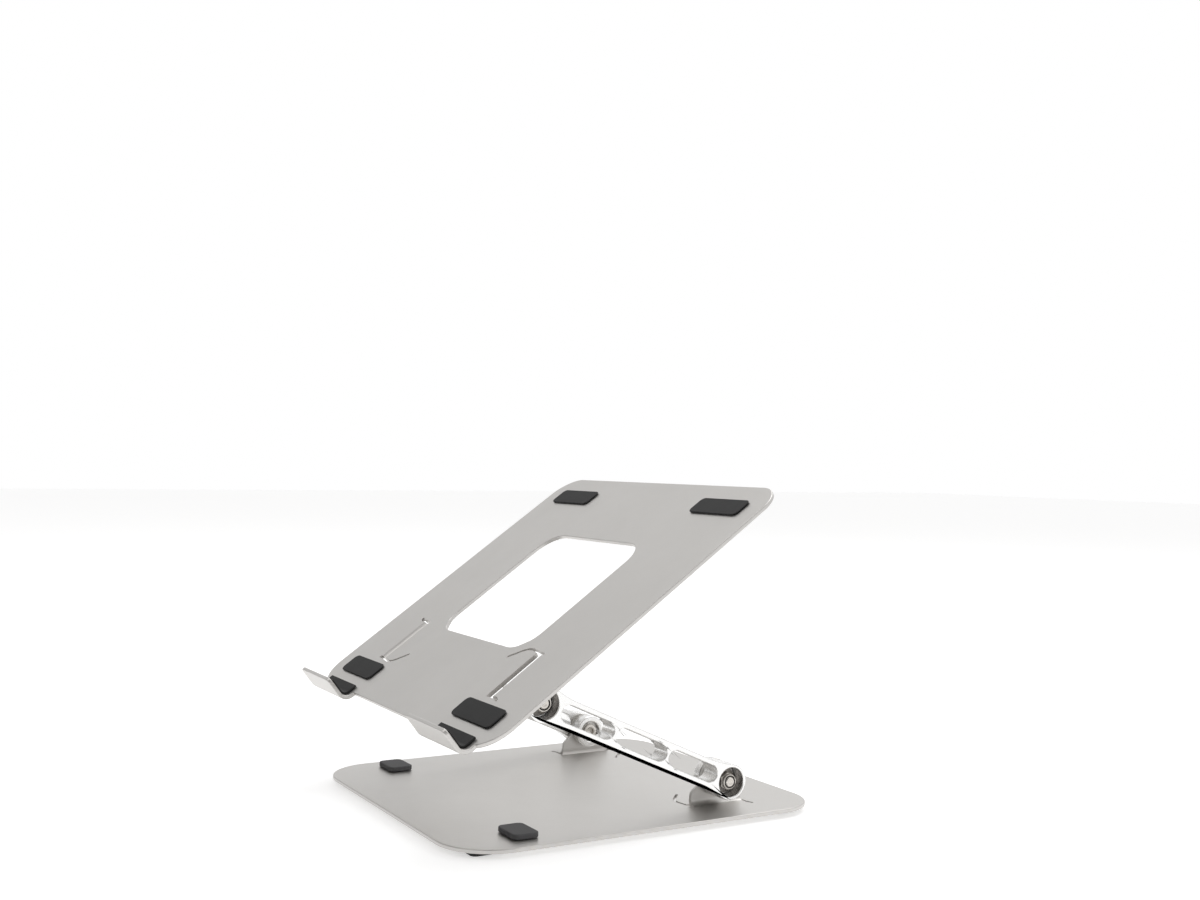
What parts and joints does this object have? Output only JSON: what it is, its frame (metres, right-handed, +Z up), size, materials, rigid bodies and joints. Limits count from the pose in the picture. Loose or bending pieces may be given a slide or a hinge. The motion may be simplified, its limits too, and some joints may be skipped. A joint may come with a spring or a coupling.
{
  "type": "laptop stand",
  "caption": "Folding laptop stand: flat sheet base, a pair of slotted arms on friction hinges, and a windowed platform with padded front hooks.",
  "frame": {"origin": "middle of the stand's footprint at the plane of the feet", "axes": "+X to the user's right, +Y to the rear, +Z up"},
  "size_m": [0.21, 0.2096, 0.1622],
  "materials": {
    "plate_alloy": "fine bead-blasted and clear anodised, satin",
    "arm_alloy": "machined and clear anodised, bright satin",
    "steel": "turned steel, half bright",
    "spring_steel": "dark spring steel",
    "nylon": "plain nylon",
    "grey_rubber": "matt grey",
    "black_rubber": "matt black"
  },
  "bodies": {
    "base": {"base_plate": "plate_alloy", "base_foot_front_left": "black_rubber", "base_foot_front_right": "black_rubber", "base_foot_rear_left": "black_rubber", "base_foot_rear_right": "black_rubber", "arm_bumper_left": "grey_rubber", "arm_bumper_right": "grey_rubber", "hinge_bolt_lower_left": "steel", "hinge_bolt_lower_right": "steel", "hinge_cup_lower_left": "arm_alloy", "hinge_cup_lower_right": "arm_alloy", "friction_washer_lower_left": "nylon", "friction_washer_lower_right": "nylon", "spring_washer_lower_left": "spring_steel", "spring_washer_lower_right": "spring_steel", "lock_nut_lower_left": "steel", "lock_nut_lower_right": "steel"},
    "arms": {"arm_left": "arm_alloy", "arm_right": "arm_alloy"},
    "upper_pins": {"hinge_bolt_upper_left": "steel", "hinge_bolt_upper_right": "steel", "hinge_cup_upper_left": "arm_alloy", "hinge_cup_upper_right": "arm_alloy", "friction_washer_upper_left": "nylon", "friction_washer_upper_right": "nylon", "spring_washer_upper_left": "spring_steel", "spring_washer_upper_right": "spring_steel", "lock_nut_upper_left": "steel", "lock_nut_upper_right": "steel"},
    "platform": {"platform_plate": "plate_alloy", "hook_liner_left": "black_rubber", "hook_liner_right": "black_rubber", "platform_pad_front_left": "black_rubber", "platform_pad_front_right": "black_rubber", "platform_pad_rear_left": "black_rubber", "platform_pad_rear_right": "black_rubber"}
  },
  "joints": [
    {"name": "arm_swing", "type": "hinge", "parent": "base", "child": "arms", "pos_m": [0, 0.05648, 0.0173], "axis": [-1, 0, 0], "range_deg": [-24.35, 66.1]},
    {"name": "pin_turn", "type": "hinge", "parent": "arms", "child": "upper_pins", "pos_m": [0, -0.04775, 0.06349], "axis": [1, 0, 0], "range_deg": [-24.4, 66.15]},
    {"name": "platform_tilt", "type": "hinge", "parent": "upper_pins", "child": "platform", "pos_m": [0, -0.04775, 0.06349], "axis": [1, 0, 0], "range_deg": [-35.3, 1]}
  ],
  "couplings": [
    {"joint": "pin_turn", "follows": "arm_swing", "ratio": 1}
  ]
}
